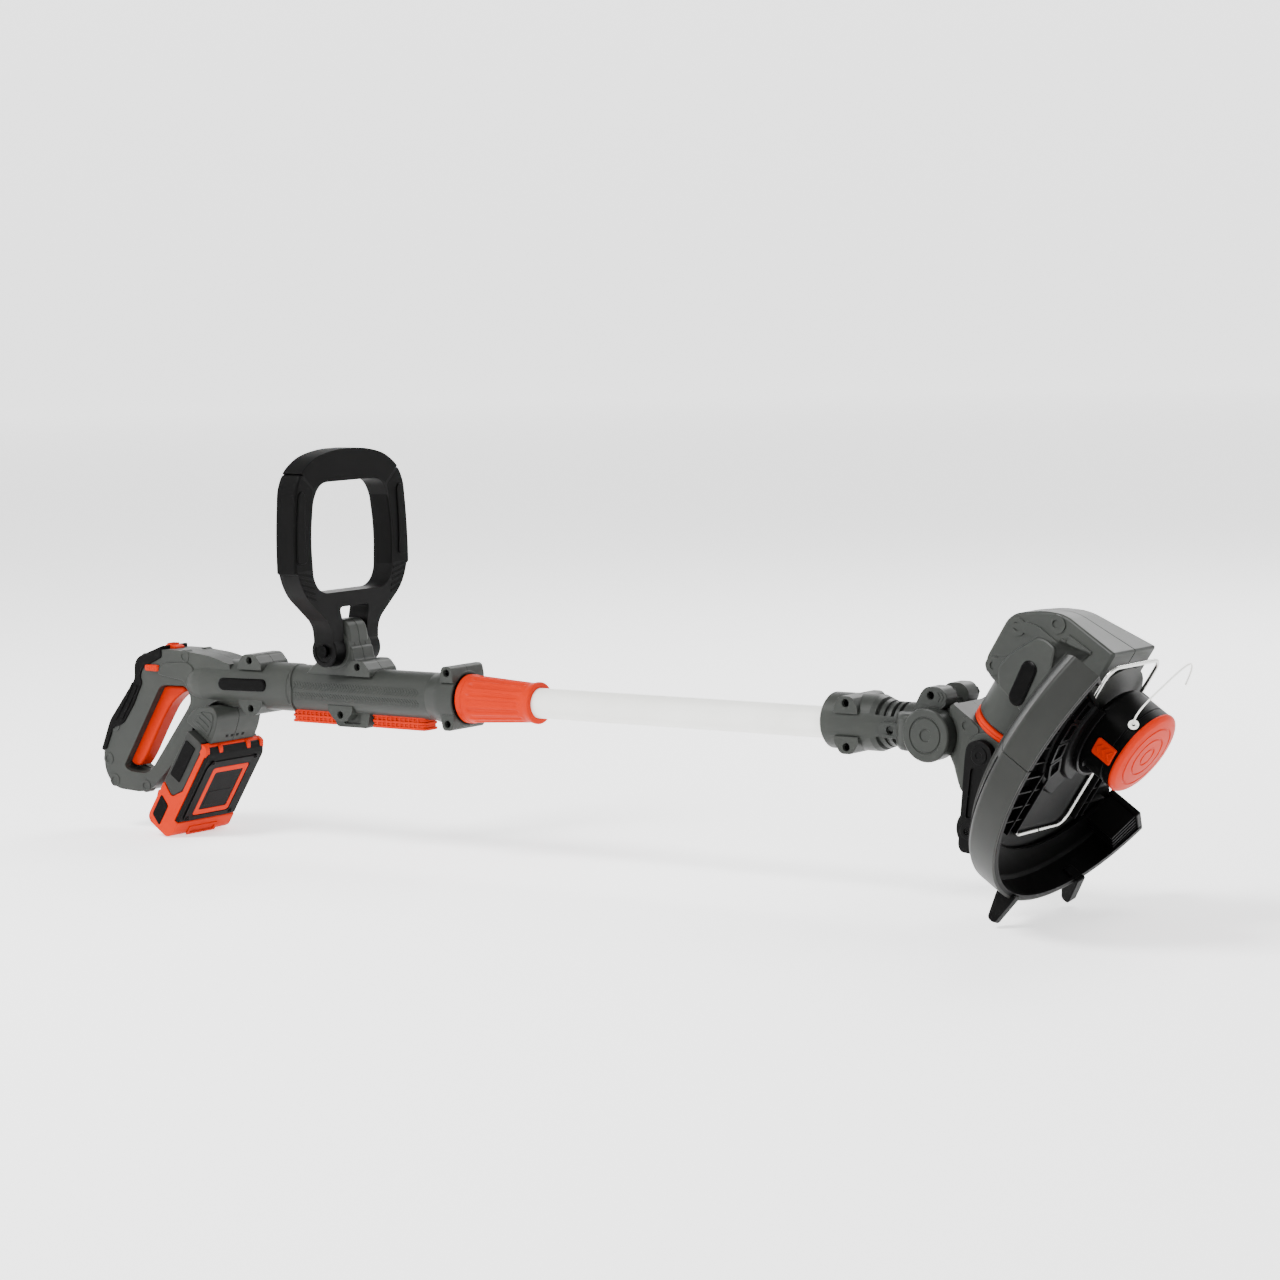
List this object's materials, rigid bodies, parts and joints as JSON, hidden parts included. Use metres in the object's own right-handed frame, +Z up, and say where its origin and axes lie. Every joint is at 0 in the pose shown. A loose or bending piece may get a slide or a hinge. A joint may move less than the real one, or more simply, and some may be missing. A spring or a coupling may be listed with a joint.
{
  "type": "string trimmer",
  "caption": "Battery string trimmer with D handle, tilting loop handle, telescopic tube, tilting and turning motor head, guide roller, guard, wire guard and spool.",
  "frame": {"origin": "on the telescopic tube's axis, in the middle of its bare stretch between the lock collar and the neck housing", "axes": "+X along the tube towards the motor head, +Z up, +Y to the left of a user who holds the rear grip"},
  "size_m": [1.1028, 0.2528, 0.3454],
  "materials": {
    "grey_abs": "moulded grey ABS, fine spark-eroded grain",
    "dark_abs": "moulded dark grey ABS",
    "black_plastic": "moulded black plastic",
    "soft_black": "soft-touch black elastomer",
    "orange_abs": "moulded orange plastic",
    "white_tube": "satin anodised aluminium tube",
    "steel": "bright drawn steel",
    "dark_steel": "black oxide steel",
    "brass": "plain",
    "board_green": "circuit board",
    "cell_blue": "shrink wrap",
    "line_white": "extruded nylon line",
    "badge_black": "gloss black badge",
    "label": "printed label without text"
  },
  "bodies": {
    "main_body": {"handle_shell_right": "grey_abs", "handle_shell_left": "grey_abs", "body_screws": "dark_steel", "rear_grip_pad": "soft_black", "spare_blades_rear": "orange_abs", "spare_blades_front": "orange_abs", "body_badge": "badge_black", "trigger_switch": "black_plastic", "control_board": "board_green", "tube_guide_bush": "black_plastic", "loop_pivot_bolt": "dark_steel", "loop_pivot_nut": "steel", "detent_washers": "steel", "terminal_block": "black_plastic"},
    "trigger": {"trigger": "orange_abs"},
    "lock_off_button": {"lock_off_button": "orange_abs"},
    "lock_on_button": {"lock_on_button": "orange_abs"},
    "loop_handle": {"loop_frame": "black_plastic", "loop_grip_cover": "soft_black"},
    "battery": {"battery_upper_shell": "dark_abs", "battery_lower_shell": "orange_abs", "battery_label_plate": "label", "battery_cells": "cell_blue", "battery_terminals": "brass"},
    "battery_release": {"battery_release_tab": "orange_abs"},
    "collar": {"lock_collar": "orange_abs"},
    "lower_shaft": {"telescopic_tube": "white_tube", "neck_shell_right": "grey_abs", "neck_shell_left": "grey_abs", "neck_screws": "dark_steel", "tilt_pin": "steel", "tilt_discs": "grey_abs"},
    "yoke": {"yoke_shell_right": "grey_abs", "yoke_shell_left": "grey_abs", "yoke_screws": "dark_steel", "swivel_ring": "orange_abs", "swivel_sleeve": "black_plastic", "guide_fork_pin": "steel"},
    "guide_fork": {"guide_fork": "black_plastic", "roller_axle": "steel"},
    "guide_roller": {"guide_roller_ends": "black_plastic", "guide_roller_sleeve": "grey_abs"},
    "motor_head": {"motor_housing_right": "grey_abs", "motor_housing_left": "grey_abs", "housing_screws": "dark_steel", "housing_badge": "badge_black", "motor_can": "steel", "guard_main": "dark_abs", "guard_extension": "dark_abs", "guard_screws": "dark_steel", "line_cutter_blade": "steel"},
    "wire_guard": {"wire_guard": "steel"},
    "spool": {"spool_housing": "black_plastic", "spool_cap": "orange_abs", "line_eyelets": "steel", "line_spool": "black_plastic", "line_winding": "line_white", "bump_spring": "steel", "motor_shaft": "steel", "cutting_line": "line_white"}
  },
  "joints": [
    {"name": "trigger_pull", "type": "hinge", "parent": "main_body", "child": "trigger", "pos_m": [-0.6125, 0, -0.07], "axis": [0, -1, 0], "range_deg": [0, 4], "stiffness_Nm_per_rad": 0.5, "springref_deg": -2.86},
    {"name": "lock_off_press", "type": "slide", "parent": "main_body", "child": "lock_off_button", "axis": [0, 1, 0], "range_m": [0, 0.002], "stiffness_N_per_m": 400, "springref_m": -0.001},
    {"name": "lock_on_press", "type": "slide", "parent": "main_body", "child": "lock_on_button", "axis": [0, 0, -1], "range_m": [0, 0.002], "stiffness_N_per_m": 400, "springref_m": -0.001},
    {"name": "loop_tilt", "type": "hinge", "parent": "main_body", "child": "loop_handle", "pos_m": [-0.3595, 0, 0.0365], "axis": [0, 1, 0], "range_deg": [-40, 60]},
    {"name": "battery_slide", "type": "slide", "parent": "main_body", "child": "battery", "axis": [-0.5592, 0, -0.829], "range_m": [0, 0.08]},
    {"name": "battery_release_press", "type": "slide", "parent": "battery", "child": "battery_release", "axis": [0.829, 0, -0.5592], "range_m": [0, 0.002], "stiffness_N_per_m": 600, "springref_m": -0.001},
    {"name": "collar_turn", "type": "hinge", "parent": "main_body", "child": "collar", "pos_m": [-0.1815, 0, 0], "axis": [1, 0, 0], "range_deg": [0, 90]},
    {"name": "tube_extend", "type": "slide", "parent": "main_body", "child": "lower_shaft", "axis": [1, 0, 0], "range_m": [-0.15, 0.05]},
    {"name": "head_tilt", "type": "hinge", "parent": "lower_shaft", "child": "yoke", "pos_m": [0.2525, 0, 0], "axis": [0, 1, 0], "range_deg": [0, 56]},
    {"name": "head_turn", "type": "hinge", "parent": "yoke", "child": "motor_head", "pos_m": [0.3072, 0, 0.00505], "axis": [0.5592, 0, 0.829], "range_deg": [0, 90]},
    {"name": "fork_swing", "type": "hinge", "parent": "yoke", "child": "guide_fork", "pos_m": [0.2999, 0, -0.0125], "axis": [0, 1, 0], "range_deg": [-5, 35]},
    {"name": "roller_spin", "type": "hinge", "parent": "guide_fork", "child": "guide_roller", "pos_m": [0.2885, 0, -0.07], "axis": [0, 1, 0], "continuous": true},
    {"name": "wire_slide", "type": "slide", "parent": "motor_head", "child": "wire_guard", "axis": [0.5592, 0, 0.829], "range_m": [0, 0.03]},
    {"name": "spool_spin", "type": "hinge", "parent": "motor_head", "child": "spool", "pos_m": [0.4225, 0, -0.01], "axis": [0.829, 0, -0.5592], "continuous": true}
  ]
}
